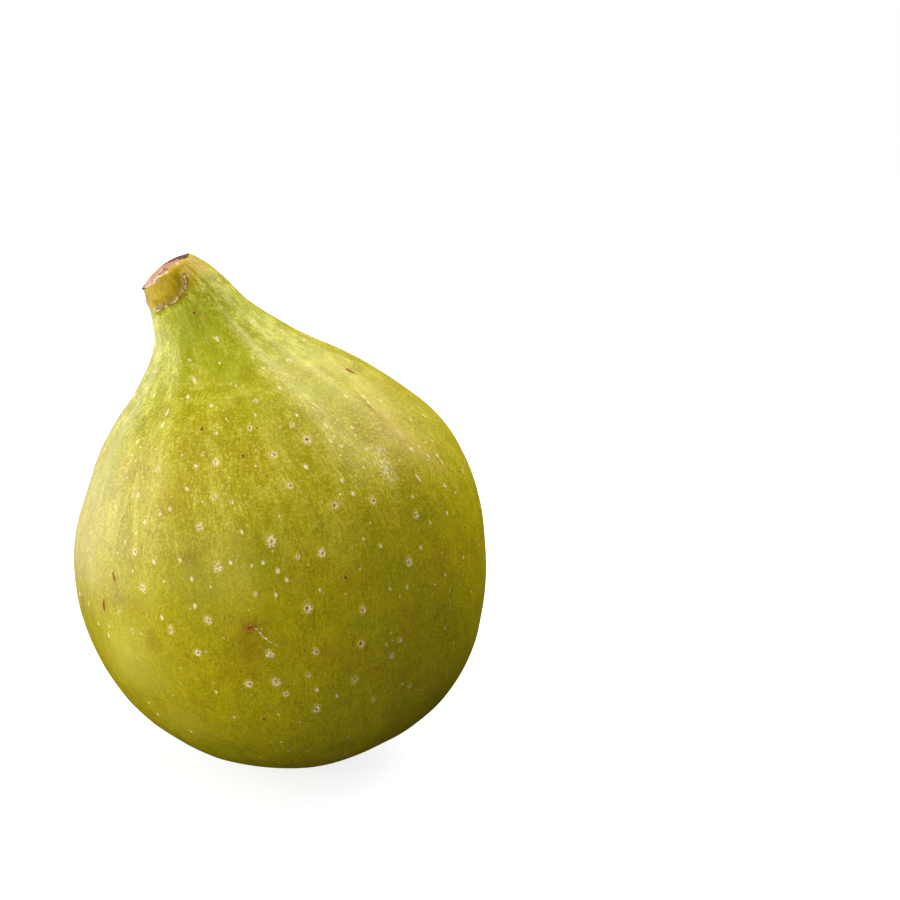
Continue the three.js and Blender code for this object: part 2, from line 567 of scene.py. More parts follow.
def write_skin_attributes(piece):
    """Gives each point of the skin its place as the fruit grew, and what lies there."""
    points = vertices_of(piece)
    along, around, off = grown_place(points)
    edge, groove, inside = scar_profiles(along, around, off)
    write_attribute(piece, "growth", growth_ring(along, around), "FLOAT_VECTOR")
    write_attribute(piece, "scar", edge)
    # The groove also carries painted shade: the hollow above each scar is coloured dark olive
    write_attribute(piece, "groove", groove)
    near_cut = smoothstep(*STUB_COLOUR, CUT_ALONG - along)
    write_attribute(piece, "stub", np.maximum(near_cut, inside))
    in_eye = smoothstep(EYE_RADIUS, 0.5 * EYE_RADIUS, off) * (points[:, 2] < EYE_TOP)
    write_attribute(piece, "eye", in_eye)
    skin = bpy.data.objects["fig_skin"]
    for name in ("bruise", "russet", "chafe", "scuff", "pale", "deep_and_shaded", "green"):
        strength = np.zeros(len(points))
        for kind, across, down, radius, amount in PATCHES:
            if kind == name:
                centre, _ = skin_under_pixel(skin, across, down)
                apart = np.linalg.norm(points - np.array(centre), axis=1)
                strength = np.maximum(strength, amount * hump(apart / (radius * MM)))
        write_attribute(piece, name, strength)


class FIG_OT_skin(bpy.types.Operator):
    """Make the skin as a finer copy of the solid, with wrinkles, scars and the eye"""

    bl_idname = "fig.skin"
    bl_label = "Skin"

    neck_begins = 30 * MM  # distances along the spine
    neck_is_full = 50 * MM
    table_margin = (0.1 * MM, 2 * MM)  # heights over which the relief comes in
    cut_margin = (0.1 * MM, 0.8 * MM)  # and distances below the cut
    wrinkle_net = (7, 7, 2.4)  # wrinkles about 3.4 mm apart on the belly and 12 mm long
    swell_across = 7 * MM
    pebble_across = 1.1 * MM
    scar_grain = 0.35 * MM

    def execute(self, context):
        sizes = context.scene.fig_sizes
        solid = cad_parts["fig"]
        skin = bpy.data.objects.new("fig_skin", solid.data.copy())
        context.scene.collection.objects.link(skin)
        select_only(skin)
        bpy.ops.object.mode_set(mode="EDIT")
        bpy.ops.mesh.select_all(action="SELECT")
        bpy.ops.mesh.remove_doubles(threshold=0.002 * MM)
        bpy.ops.mesh.tris_convert_to_quads(
            face_threshold=math.radians(50), shape_threshold=math.radians(70)
        )
        bpy.ops.object.mode_set(mode="OBJECT")
        apply_modifier(skin, "SUBSURF", levels=2, render_levels=2)

        points = vertices_of(skin)
        normals = normals_of(skin)
        along, around, off = grown_place(points)
        neck = smoothstep(self.neck_begins, self.neck_is_full, along)
        above_table = smoothstep(*self.table_margin, points[:, 2])
        below_cut = smoothstep(*self.cut_margin, CUT_ALONG - along)
        wrinkles = layered_noise(growth_ring(along, around) * self.wrinkle_net)
        wrinkles *= 0.2 + 0.8 * neck
        swells = layered_noise(points / self.swell_across) * (1 - 0.7 * neck)
        pebbles = layered_noise(points / self.pebble_across) * (1 - 0.5 * neck)
        edge, groove, _ = scar_profiles(along, around, off)
        rough = layered_noise(points / self.scar_grain)
        height = (
            sizes.wrinkle * wrinkles
            + sizes.swell * swells
            + sizes.pebble * pebbles
            + sizes.scar * edge * (0.5 + rough)
            - sizes.scar * groove
        )
        place_vertices(skin, points + normals * (height * above_table * below_cut)[:, None])
        write_skin_attributes(skin)
        finish_piece(skin, fig_skin(context.scene.fig_colours))
        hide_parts("fig")
        return {"FINISHED"}


class FIG_OT_cut_stalk(bpy.types.Operator):
    """Make the torn, fibrous cut face of the stalk"""

    bl_idname = "fig.cut_stalk"
    bl_label = "Cut Stalk"

    sides = 96
    rings = 16
    rim_begins = 0.82  # share of the radius at which the fibres give way to the torn rim
    lip_around = math.radians(-40)  # where the skin stands up past the cut
    lip_width = 0.16  # how far the cut draws back there, as a share of its radius
    fibre_size = (1.6 * MM, 0.16 * MM, 1.0)
    tear_across = 0.5 * MM
    above_rim = 0.1 * MM
    depth = 0.5 * MM  # how far the piece reaches down into the stalk
    taper = 0.88

    def execute(self, context):
        sizes = context.scene.fig_sizes
        centre, direction = spine_point(CUT_ALONG)
        turn = direction.to_track_quat("Z", "X")
        bpy.ops.mesh.primitive_circle_add(vertices=self.sides, radius=CUT_RADIUS, fill_type="NGON")
        cut = context.object
        cut.name = "cut_stalk"
        bpy.ops.object.mode_set(mode="EDIT")
        bpy.ops.mesh.select_all(action="SELECT")
        for _ in range(self.rings):
            bpy.ops.mesh.inset(thickness=CUT_RADIUS / (self.rings + 0.6))
        bpy.ops.mesh.poke()
        bpy.ops.object.mode_set(mode="OBJECT")

        # Its own X runs along the slant, where the fibres tore, and its Y away from the front.
        points = vertices_of(cut)
        out = np.hypot(points[:, 0], points[:, 1]) / CUT_RADIUS
        fibres = layered_noise(points / self.fibre_size)
        tears = layered_noise(points / self.tear_across + 7)
        rim = smoothstep(self.rim_begins, 1.0, out)
        dome = CUT_DOME * (1 - out**2)
        torn = sizes.tear * (fibres * (1 - 0.6 * rim) + 1.6 * rim * tears)
        points[:, 2] = dome + self.above_rim + torn
        around = np.arctan2(points[:, 1], points[:, 0])
        turn_from_lip = np.remainder(around - self.lip_around + math.pi, 2 * math.pi) - math.pi
        lip = self.lip_width * hump(turn_from_lip)
        points[:, :2] *= (1 + (0.03 - lip) * out + 0.07 * rim * tears)[:, None]
        place_vertices(cut, points)
        write_attribute(cut, "out", out + 0.06 * tears)
        write_attribute(cut, "fibre", fibres)
        up_slant = points[:, 0] / CUT_RADIUS + 0.2 * tears
        away = points[:, 1] / CUT_RADIUS + 0.12 * tears
        crest = smoothstep(-0.3, 0.0, away + 0.25 * up_slant) * smoothstep(-0.4, 0.1, up_slant)
        low_end = smoothstep(0.7, 0.95, -up_slant)
        write_attribute(cut, "dark", np.maximum(crest, 0.8 * low_end))

        bpy.ops.object.mode_set(mode="EDIT")
        bpy.ops.mesh.select_all(action="DESELECT")
        bpy.ops.mesh.select_mode(type="EDGE")
        bpy.ops.mesh.select_non_manifold()
        bpy.ops.mesh.extrude_region_move(TRANSFORM_OT_translate={"value": (0, 0, -self.depth)})
        bpy.ops.transform.resize(value=(self.taper, self.taper, 1))
        bpy.ops.mesh.edge_face_add()
        bpy.ops.mesh.select_all(action="SELECT")
        bpy.ops.mesh.normals_make_consistent(inside=False)
        bpy.ops.object.mode_set(mode="OBJECT")
        cut.data.transform(Matrix.Translation(centre) @ turn.to_matrix().to_4x4())
        finish_piece(cut, dry_cut_wood(context.scene.fig_colours))
        return {"FINISHED"}


# What each kind of speck is: how far its crust stands up, whether it has a pit, how brown
# it is, how far its edge runs out in rays, and how much longer it is than wide.
KINDS = {
    "crater": {"rise": 1.0, "pit": 0.9, "brown": 0.0, "rays": 0.35, "long": 1.15},
    "star": {"rise": 0.6, "pit": 0.6, "brown": 0.0, "rays": 1.0, "long": 1.2},
    "bruise": {"rise": 0.5, "pit": 1.0, "brown": 1.0, "rays": 0.5, "long": 0.6},
    "dot": {"rise": 0.3, "pit": 0.0, "brown": 1.0, "rays": 0.3, "long": 1.2},
    "dash": {"rise": 0.3, "pit": 0.0, "brown": 1.0, "rays": 0.3, "long": 3.0},
    "scrape": {"rise": 0.2, "pit": 0.0, "brown": 1.0, "rays": 0.3, "long": 6.0},
    "fleck": {"rise": 0.5, "pit": 0.0, "brown": 0.0, "rays": 0.8, "long": 1.5},
    "scratch": {"rise": 0.3, "pit": 0.0, "brown": 0.0, "rays": 0.6, "long": 4.0},
}


class FIG_OT_specks(bpy.types.Operator):
    """Make the specks of cork, placed from the photograph and scattered elsewhere"""

    bl_idname = "fig.specks"
    bl_label = "Specks"

    random_seed = 7

    # Each patch of skin round a speck, with its rings as shares of the crust's radius
    rings = (1.9, 1.45, 1.05, 0.65, 0.3)
    sides = 16
    few_rings = (1.9, 1.2, 0.6)
    few_sides = 9
    fine_from = 0.55  # width in mm past which a speck gets all the rings
    sunk = 0.005 * MM  # the edge of the patch lies just inside the skin
    underside = 0.15 * MM
    golden = (0.5, 1.0)  # from cream to gold, for specks with a pit
    cream = (0.1, 0.55)  # and for those without
    placed_turn = 0.3  # most turn from the growth, in radians
    scattered_turn = 0.4
    scattered = {"fleck": 9, "crater": 4, "star": 4, "dot": 1}  # how common each kind is
    small_width = (0.18, 0.4)  # of flecks and dots, in mm
    large_width = (0.45, 1.0)
    apart = 1.2 * MM
    outside = 0.1  # further from the middle than any skin
    lowest = 1.5 * MM
    highest = 54 * MM
    facing_camera = 0.15  # past this, the photograph places all but the flecks

    def disc(self, sides, rings):
        """A flat round net with a closed underside, to be draped over the skin."""
        bpy.ops.mesh.primitive_circle_add(vertices=sides, radius=rings[0], fill_type="NGON")
        disc = bpy.context.object
        bpy.ops.object.mode_set(mode="EDIT")
        bpy.ops.mesh.select_all(action="SELECT")
        bpy.ops.mesh.extrude_region_move(TRANSFORM_OT_translate={"value": (0, 0, 1)})
        for outer, inner in zip(rings, rings[1:]):
            bpy.ops.mesh.inset(thickness=(outer - inner) * math.cos(math.pi / sides))
        bpy.ops.object.mode_set(mode="OBJECT")
        return disc

    def drape(self, disc, kind, point, normal, width, turn, draw):
        """A copy of the disc, draped over the skin with its crust raised."""
        about = KINDS[kind]
        skin = bpy.data.objects["fig_skin"]
        speck = bpy.data.objects.new("speck", disc.data.copy())
        bpy.context.scene.collection.objects.link(speck)
        along = float(grown_place(np.array([point]))[0][0])
        forward = spine_point(along)[1]
        forward = (forward - normal * forward.dot(normal)).normalized()
        forward = Matrix.Rotation(turn, 3, normal) @ forward
        side = forward.cross(normal)
        flat = vertices_of(speck)
        out = np.hypot(flat[:, 0], flat[:, 1])
        crust = np.interp(out, self.rings[:0:-1], [1 - 0.8 * about["pit"], 1, 0.5, 0.1])
        height = bpy.context.scene.fig_sizes.speck_height * about["rise"]
        height *= 0.4 + 0.6 * width / MM
        draped = []
        for (x, y, z), share in zip(flat, crust):
            beside = point + side * (x * width / 2) + forward * (y * about["long"] * width / 2)
            _, foot, above, _ = skin.closest_point_on_mesh(beside)
            lift = share * height
            on_the_edge = math.hypot(x, y) > self.rings[0] * 0.98
            if on_the_edge:
                lift = -self.sunk if z > 0.5 else -self.underside
            draped.append(foot + above * lift)
        place_vertices(speck, np.array(draped))
        seed = draw.uniform(0, 50)
        spot = np.column_stack([flat[:, :2], np.full(len(flat), seed)])
        write_attribute(speck, "spot", spot, "FLOAT_VECTOR")
        tone = draw.uniform(*(self.golden if about["pit"] else self.cream))
        same_all_over = {name: about[name] for name in ("pit", "brown", "rays")}
        for name, value in {**same_all_over, "tone": tone, "crust": 1.0}.items():
            write_attribute(speck, name, np.full(len(flat), value))
        return speck

    def execute(self, context):
        sizes = context.scene.fig_sizes
        skin = bpy.data.objects["fig_skin"]
        draw = random.Random(self.random_seed)
        fine = self.disc(self.sides, self.rings)
        plain = self.disc(self.few_sides, self.few_rings)
        specks = []
        centres = []
        for kind, across, down, width, *turn in MARKS:
            point, normal = skin_under_pixel(skin, across, down)
            disc = fine if width > self.fine_from else plain
            if turn:
                angle = math.radians(*turn)
            else:
                angle = draw.uniform(-self.placed_turn, self.placed_turn)
            specks.append(self.drape(disc, kind, point, normal, width * MM, angle, draw))
            centres.append(point)
        eye = camera_axes()[0]
        while len(specks) < len(MARKS) + sizes.specks_elsewhere:
            toward = Vector([draw.gauss(0, 1) for _ in range(3)]).normalized()
            hit, point, normal, _ = skin.ray_cast(BELLY_MIDDLE + toward * self.outside, -toward)
            if not hit or not self.lowest <= point.z <= self.highest:
                continue
            if min((point - other).length for other in centres) < self.apart:
                continue
            seen = normal.dot((eye - point).normalized())
            shares = {"fleck": 1} if seen > self.facing_camera else self.scattered
            kind = draw.choices(list(shares), list(shares.values()))[0]
            small = kind in ("fleck", "dot")
            width = draw.uniform(*(self.small_width if small else self.large_width))
            disc = fine if width > self.fine_from else plain
            angle = draw.uniform(-self.scattered_turn, self.scattered_turn)
            specks.append(self.drape(disc, kind, point, normal, width * MM, angle, draw))
            centres.append(point)
        bpy.data.objects.remove(fine)
        bpy.data.objects.remove(plain)
        bpy.ops.object.select_all(action="DESELECT")
        for speck in specks:
            speck.select_set(True)
        context.view_layer.objects.active = specks[0]
        bpy.ops.object.join()
        joined = context.object
        joined.name = "cork_specks"
        bpy.ops.object.mode_set(mode="EDIT")
        bpy.ops.mesh.select_all(action="SELECT")
        bpy.ops.mesh.normals_make_consistent(inside=False)
        bpy.ops.object.mode_set(mode="OBJECT")
        write_skin_attributes(joined)
        finish_piece(joined, fig_skin(context.scene.fig_colours, "speck_cork", 0.0))
        return {"FINISHED"}


# Materials


def add(tree, kind, inputs=None, output=0, **settings):
    """Adds a node with its settings and links, and gives the output that is asked for."""
    node = tree.nodes.new("ShaderNode" + kind)
    for name, value in settings.items():
        setattr(node, name, value)
    for name, value in (inputs or {}).items():
        if isinstance(value, bpy.types.NodeSocket):
            tree.links.new(value, node.inputs[name])
        else:
            node.inputs[name].default_value = value
    return node.outputs[output] if len(node.outputs) else node


# A Mix node's input for the factor, its inputs for two numbers, and its inputs and output
# for two colours
FACTOR = 0
FIRST = 2
SECOND = 3
A = 6
B = 7
MIXED = 2


def new_material(name):
    material = bpy.data.materials.new(name)
    material.use_nodes = True
    material.node_tree.nodes.clear()
    return material, material.node_tree


def ripening(tree, place, up, colours):
    """Zones of riper skin, some 14 mm across, over a slow change from the neck to the belly,
    and softer zones of 5 mm, some browner and some greener."""
    zones = add(tree, "TexNoise", {"Vector": place, "Scale": 1 / (14 * MM), "Detail": 2.0})
    height = add(tree, "Math", {0: zones, 1: 1.3, 2: up}, operation="MULTIPLY_ADD")
    ripe = add(tree, "MapRange", {"Value": height, "From Min": 2.5, "From Max": 2.1})
    green = rgba(colours.green)
    yellow = rgba(colours.yellow)
    base = add(tree, "Mix", {FACTOR: ripe, A: green, B: yellow}, MIXED, data_type="RGBA")
    clouds = add(tree, "TexNoise", {"Vector": place, "Scale": 1 / (5 * MM), "Detail": 2.0})
    for low, high, colour in ((0.54, 0.74, "b48c08"), (0.46, 0.26, "929206")):
        span = {"From Min": low, "From Max": high, "To Max": 0.32}
        amount = add(tree, "MapRange", {"Value": clouds, **span})
        tint = rgba(linear(colour))
        base = add(tree, "Mix", {FACTOR: amount, A: base, B: tint}, MIXED, data_type="RGBA")
    return base


def growth_streaks(tree, growth, up, mottles):
    """Streaks and bands that follow the growth. On the belly and the shoulder the streaks are
    about 0.5 by 1.5 mm, in bands 3 mm wide. On the neck they are shorter, among mottles."""
    nets = []
    for scale, detail, distortion in (
        ((42, 42, 20), 3.0, 1.2),
        ((11, 11, 26), 3.0, 0.8),
        ((7, 7, 3.5), 2.0, 0.5),
    ):
        net = add(tree, "Mapping", {"Vector": growth, "Scale": scale})
        look = {"Scale": 1.0, "Detail": detail, "Distortion": distortion}
        nets.append(add(tree, "TexNoise", {"Vector": net, **look}))
    long_streaks, short_streaks, bands = nets
    on_neck = add(tree, "MapRange", {"Value": up, "From Min": 1.3, "From Max": 1.7})
    streaks = add(tree, "Mix", {FACTOR: on_neck, FIRST: long_streaks, SECOND: short_streaks})
    bands = add(tree, "Mix", {FACTOR: on_neck, FIRST: bands, SECOND: mottles})
    return streaks, bands


def flecked(tree, base, place, near_neck, grain, colours):
    """Flecks too small to model, one in each cell of 2.2 mm, and paler dust near the neck."""
    cells = add(tree, "TexVoronoi", {"Vector": place, "Scale": 1 / (2.2 * MM)}, "Distance")
    span = {"From Min": 0.07, "From Max": 0.04, "To Max": 0.6}
    flecks = add(tree, "MapRange", {"Value": cells, **span})
    cork = rgba(colours.cork)
    base = add(tree, "Mix", {FACTOR: flecks, A: base, B: cork}, MIXED, data_type="RGBA")
    span = {"From Min": 0.58, "From Max": 0.72, "To Max": 0.5}
    dust = add(tree, "MapRange", {"Value": grain, **span})
    dust = add(tree, "Math", {0: dust, 1: near_neck}, operation="MULTIPLY")
    pale = rgba(linear("e6de94"))
    return add(tree, "Mix", {FACTOR: dust, A: base, B: pale}, MIXED, data_type="RGBA")


def soft_patches(tree, base, mottles):
    """Paler, greener, deeper and bruised places, which fade out softly. The paler places are partly
    painted light, and the deeper ones partly painted shade.
    """
    for kind, colour, most in (
        # The pale tint is in part painted light
        ("pale", "cfc64e", 0.7),
        ("green", "a0a40a", 0.8),
        # The deep tint is in part painted shade
        ("deep_and_shaded", "8f8c06", 0.8),
        ("chafe", "b8963c", 0.5),
        ("bruise", "783c00", 0.9),
    ):
        strength = add(tree, "Attribute", output="Fac", attribute_name=kind)
        uneven = add(tree, "Math", {0: mottles, 1: 0.8, 2: 0.6}, operation="MULTIPLY_ADD")
        strength = add(tree, "Math", {0: strength, 1: uneven}, operation="MULTIPLY")
        strength = add(tree, "Math", {0: strength, 1: most}, operation="MULTIPLY")
        tint = rgba(linear(colour))
        base = add(tree, "Mix", {FACTOR: strength, A: base, B: tint}, MIXED, data_type="RGBA")
    return base


def rubbed_places(tree, base, place, growth, colours):
    """Places rubbed to brown lines along the growth, and to cream crumbs."""
    line_net = add(tree, "Mapping", {"Vector": growth, "Scale": (90, 90, 30)})
    lines = add(tree, "TexNoise", {"Vector": line_net, "Scale": 1.0, "Detail": 2.0})
    crumbly = add(tree, "TexNoise", {"Vector": place, "Scale": 1 / (0.28 * MM), "Detail": 1.0})
    for kind, pattern, colour, low, high in (
        ("russet", lines, colours.russet, 0.7, 0.32),
        ("chafe", lines, linear("e8cf94"), 0.75, 0.42),
        ("scuff", crumbly, linear("eadfae"), 0.7, 0.38),
    ):
        strength = add(tree, "Attribute", output="Fac", attribute_name=kind)
        threshold = add(tree, "MapRange", {"Value": strength, "To Min": low, "To Max": high})
        worn = add(tree, "Math", {0: pattern, 1: threshold}, operation="SUBTRACT")
        worn = add(tree, "MapRange", {"Value": worn, "From Max": 0.16, "To Max": 0.65})
        base = add(tree, "Mix", {FACTOR: worn, A: base, B: rgba(colour)}, MIXED, data_type="RGBA")
    return base


def stub_scars_and_eye(tree, base, place):
    """The stub of the stalk, the scars of the bracts and the eye, each with ragged edges, and
    painted shade in the groove above each scar.
    """
    ragged = add(tree, "TexNoise", {"Vector": place, "Scale": 1 / (0.5 * MM), "Detail": 4.0})
    for kind, colour, low, high, most, raggedness in (
        ("stub", "b89a06", 0.0, 0.9, 0.9, 0.5),
        ("stub", "7c6206", 0.85, 1.35, 0.4, 1.6),
        # Painted shade: dark olive in the hollow above each scar's ridge
        ("groove", "6c5a08", 0.2, 1.0, 0.75, 0.8),
        ("scar", "7e5a22", 0.5, 0.75, 1.0, 1.2),
        ("scar", "cfb574", 0.85, 1.1, 1.0, 1.8),
        ("eye", "8a5428", 0.0, 1.0, 1.0, 0.5),
    ):
        strength = add(tree, "Attribute", output="Fac", attribute_name=kind)
        rough = add(tree, "Math", {0: ragged, 1: 0.5}, operation="SUBTRACT")
        rough = add(tree, "Math", {0: rough, 1: raggedness, 2: strength}, operation="MULTIPLY_ADD")
        span = {"From Min": low, "From Max": high, "To Max": most}
        shown = add(tree, "MapRange", {"Value": rough, **span})
        shown = add(tree, "Math", {0: shown, 1: strength}, operation="MINIMUM")
        tint = rgba(linear(colour))
        base = add(tree, "Mix", {FACTOR: shown, A: base, B: tint}, MIXED, data_type="RGBA")
    return base


def speck_crusts(tree, base, colours):
    """The specks: each a ragged crust of crumbs with a pit, and thin pale rays round it. Also
    gives how much of each place is crust."""
    spot = add(tree, "Attribute", output="Vector", attribute_name="spot")
    pit, brown, rays, tone, crust = (
        add(tree, "Attribute", output="Fac", attribute_name=name)
        for name in ("pit", "brown", "rays", "tone", "crust")
    )
    flat = add(tree, "VectorMath", {0: spot, 1: (1, 1, 0)}, operation="MULTIPLY")
    out = add(tree, "VectorMath", {0: flat}, "Value", operation="LENGTH")
    heading = add(tree, "VectorMath", {0: flat}, operation="NORMALIZE")
    heading = add(tree, "VectorMath", {0: heading, 1: spot}, operation="ADD")

    # The crust, whose edge runs out in lobes and breaks into crumbs
    lobes = add(tree, "TexNoise", {"Vector": heading, "Scale": 2.2, "Detail": 3.0})
    crumbs = add(tree, "TexNoise", {"Vector": spot, "Scale": 2.8, "Detail": 1.0})
    edge = add(tree, "Math", {0: lobes, 1: 0.5}, operation="SUBTRACT")
    edge = add(tree, "Math", {0: edge, 1: rays}, operation="MULTIPLY")
    edge = add(tree, "Math", {0: edge, 1: 2.4, 2: 0.8}, operation="MULTIPLY_ADD")
    crumbling = add(tree, "Math", {0: rays, 1: 1.4, 2: 1.1}, operation="MULTIPLY_ADD")
    loose = add(tree, "Math", {0: crumbs, 1: 0.5}, operation="SUBTRACT")
    edge = add(tree, "Math", {0: loose, 1: crumbling, 2: edge}, operation="MULTIPLY_ADD")
    inside = add(tree, "Math", {0: edge, 1: out}, operation="SUBTRACT")
    inside = add(tree, "MapRange", {"Value": inside, "From Min": -0.08, "From Max": 0.1})
    inside = add(tree, "Math", {0: inside, 1: crust}, operation="MULTIPLY")

    # The rays on the skin round it
    halo = add(tree, "MapRange", {"Value": out, "From Min": 1.8, "From Max": 0.6})
    ray_net = add(tree, "TexNoise", {"Vector": heading, "Scale": 6.0, "Detail": 1.0})
    ray_net = add(tree, "MapRange", {"Value": ray_net, "From Min": 0.48, "From Max": 0.66})
    for share in (ray_net, crust, 0.55):
        halo = add(tree, "Math", {0: halo, 1: share}, operation="MULTIPLY")
    pale = rgba(colours.pale)
    base = add(tree, "Mix", {FACTOR: halo, A: base, B: pale}, MIXED, data_type="RGBA")

    # The pit, a slit that lies at its own angle
    seed = add(tree, "SeparateXYZ", {"Vector": spot}, "Z")
    slit = add(tree, "VectorRotate", {"Vector": flat, "Angle": seed}, rotation_type="Z_AXIS")
    slit = add(tree, "VectorMath", {0: slit, 1: (0.16, 0, 0)}, operation="ADD")
    slit = add(tree, "VectorMath", {0: slit, 1: (1.5, 0.9, 0)}, operation="MULTIPLY")
    slit = add(tree, "VectorMath", {0: slit}, "Value", operation="LENGTH")
    hole = add(tree, "Math", {0: crumbs, 1: 0.6, 2: 0.04}, operation="MULTIPLY_ADD")
    hole = add(tree, "Math", {0: hole, 1: slit}, operation="SUBTRACT")
    hole = add(tree, "MapRange", {"Value": hole, "From Min": -0.08, "From Max": 0.08})
    hole = add(tree, "Math", {0: hole, 1: pit}, operation="MULTIPLY")

    # The cork, from cream to gold, with darker gaps between its crumbs
    gaps = add(tree, "TexNoise", {"Vector": spot, "Scale": 3.2, "Detail": 1.0})
    gaps = add(tree, "MapRange", {"Value": gaps, "From Min": 0.48, "From Max": 0.38, "To Max": 0.7})
    cork = rgba(colours.cork)
    for amount, colour in (
        (tone, linear("dfc47c")),
        (gaps, linear("a07c20")),
        (brown, linear("8c4808")),
        (hole, colours.pit),
    ):
        cork = add(tree, "Mix", {FACTOR: amount, A: cork, B: rgba(colour)}, MIXED, data_type="RGBA")
    base = add(tree, "Mix", {FACTOR: inside, A: base, B: cork}, MIXED, data_type="RGBA")
    return base, inside


def fig_skin(colours, name="green_fig_skin", flesh=0.2):
    """Ripe green fig skin: thin and waxy over pale flesh, so its highlights are broad and
    soft. It is greener at the neck, where pale streaks follow its growth, and the lenticels
    have dried to cream crumbs of cork round a brown pit."""
    material, tree = new_material(name)
    place = add(tree, "TexCoord", output="Object")
    growth = add(tree, "Attribute", output="Vector", attribute_name="growth")
    up = add(tree, "SeparateXYZ", {"Vector": growth}, "Z")
    near_neck = add(tree, "MapRange", {"Value": up, "From Min": 0.9, "From Max": 1.6})
    mottles = add(tree, "TexNoise", {"Vector": place, "Scale": 1 / (1.5 * MM), "Detail": 2.0})
    grain = add(tree, "TexNoise", {"Vector": place, "Scale": 1 / (0.27 * MM), "Detail": 2.0})
    streaks, bands = growth_streaks(tree, growth, up, mottles)
    base = ripening(tree, place, up, colours)

    # Pale broken streaks, strongest on the neck
    pale = add(tree, "Math", {0: streaks, 1: bands}, operation="ADD")
    pale = add(tree, "MapRange", {"Value": pale, "From Min": 0.96, "From Max": 1.3, "To Max": 0.6})
    pale = add(tree, "Math", {0: pale, 1: near_neck}, operation="MULTIPLY")
    base = add(tree, "Mix", {FACTOR: pale, A: base, B: rgba(colours.pale)}, MIXED, data_type="RGBA")

    # Lighter and darker by all the patterns together. The constant keeps the mean at 1.
    tone = -0.06
    for pattern, share in ((mottles, 0.4), (streaks, 0.42), (bands, 0.3), (grain, 1.0)):
        tone = add(tree, "Math", {0: pattern, 1: share, 2: tone}, operation="MULTIPLY_ADD")
    base = add(tree, "VectorMath", {0: base, "Scale": tone}, operation="SCALE")

    base = flecked(tree, base, place, near_neck, grain, colours)
    base = soft_patches(tree, base, mottles)
    base = rubbed_places(tree, base, place, growth, colours)
    base = stub_scars_and_eye(tree, base, place)
    base, inside = speck_crusts(tree, base, colours)
    roughness = add(tree, "MapRange", {"Value": inside, "To Min": 0.36, "To Max": 0.85})
    bump = add(tree, "Bump", {"Height": grain, "Strength": 0.8, "Distance": 0.05 * MM})
    bump = add(
        tree, "Bump", {"Height": streaks, "Strength": 0.8, "Distance": 0.08 * MM, "Normal": bump}
    )
    shader = add(
        tree,
        "BsdfPrincipled",
        {
            "Base Color": base,
            "Roughness": roughness,
            "IOR": 1.39,
            "Subsurface Weight": flesh,
            "Subsurface Radius": (1.0, 0.8, 0.25),
            "Subsurface Scale": 1.0 * MM,
            "Normal": bump,
        },
    )
    add(tree, "OutputMaterial", {"Surface": shader})
    return material


def dry_cut_wood(colours):
    """The stalk's cut, dried for a day: pale pinkish fibres with a dark torn edge, matt."""
    material, tree = new_material("dry_cut_stalk")
    place = add(tree, "TexCoord", output="Object")
    out, fibre, dark = (
        add(tree, "Attribute", output="Fac", attribute_name=name)
        for name in ("out", "fibre", "dark")
    )
    fine = add(tree, "TexNoise", {"Vector": place, "Scale": 1 / (0.3 * MM), "Detail": 3.0})
    broad = add(tree, "TexNoise", {"Vector": place, "Scale": 1 / (1.4 * MM), "Detail": 2.0})
    streak = add(tree, "MapRange", {"Value": fibre, "From Min": -0.25, "From Max": 0.45})
    low = rgba(linear("7c4a30"))
    high = rgba(linear("e2c09c"))
    base = add(tree, "Mix", {FACTOR: streak, A: low, B: high}, MIXED, data_type="RGBA")
    span = {"From Min": 0.45, "From Max": 0.6, "To Max": 0.55}
    pink = add(tree, "MapRange", {"Value": broad, **span})
    base = add(tree, "Mix", {FACTOR: pink, A: base, B: rgba(colours.wood)}, MIXED, data_type="RGBA")
    shade = add(tree, "Math", {0: fine, 1: 1.3, 2: 0.35}, operation="MULTIPLY_ADD")
    base = add(tree, "VectorMath", {0: base, "Scale": shade}, operation="SCALE")

    # Pale crumbs along the rim, and the dark dried edge, wide where the stalk tore last
    crumbs = add(tree, "Math", {0: fine, 1: 0.9, 2: out}, operation="MULTIPLY_ADD")
    span = {"From Min": 1.36, "From Max": 1.44, "To Max": 0.8}
    crumbs = add(tree, "MapRange", {"Value": crumbs, **span})
    pale = rgba(linear("f0dcb4"))
    base = add(tree, "Mix", {FACTOR: crumbs, A: base, B: pale}, MIXED, data_type="RGBA")
    torn = add(tree, "Math", {0: fine, 1: -0.7, 2: out}, operation="MULTIPLY_ADD")
    span = {"From Min": 0.7, "From Max": 0.78, "To Max": 0.85}
    torn = add(tree, "MapRange", {"Value": torn, **span})
    dark = add(tree, "Math", {0: fine, 1: 0.9, 2: dark}, operation="MULTIPLY_ADD")
    span = {"From Min": 0.95, "From Max": 1.15, "To Max": 0.95}
    dark = add(tree, "MapRange", {"Value": dark, **span})
    torn = add(tree, "Math", {0: torn, 1: dark}, operation="MAXIMUM")
    base = add(tree, "Mix", {FACTOR: torn, A: base, B: rgba(colours.bark)}, MIXED, data_type="RGBA")
    bump = add(tree, "Bump", {"Height": fine, "Strength": 0.6, "Distance": 0.05 * MM})
    shader = add(
        tree, "BsdfPrincipled", {"Base Color": base, "Roughness": 0.85, "IOR": 1.4, "Normal": bump}
    )
    add(tree, "OutputMaterial", {"Surface": shader})
    return material


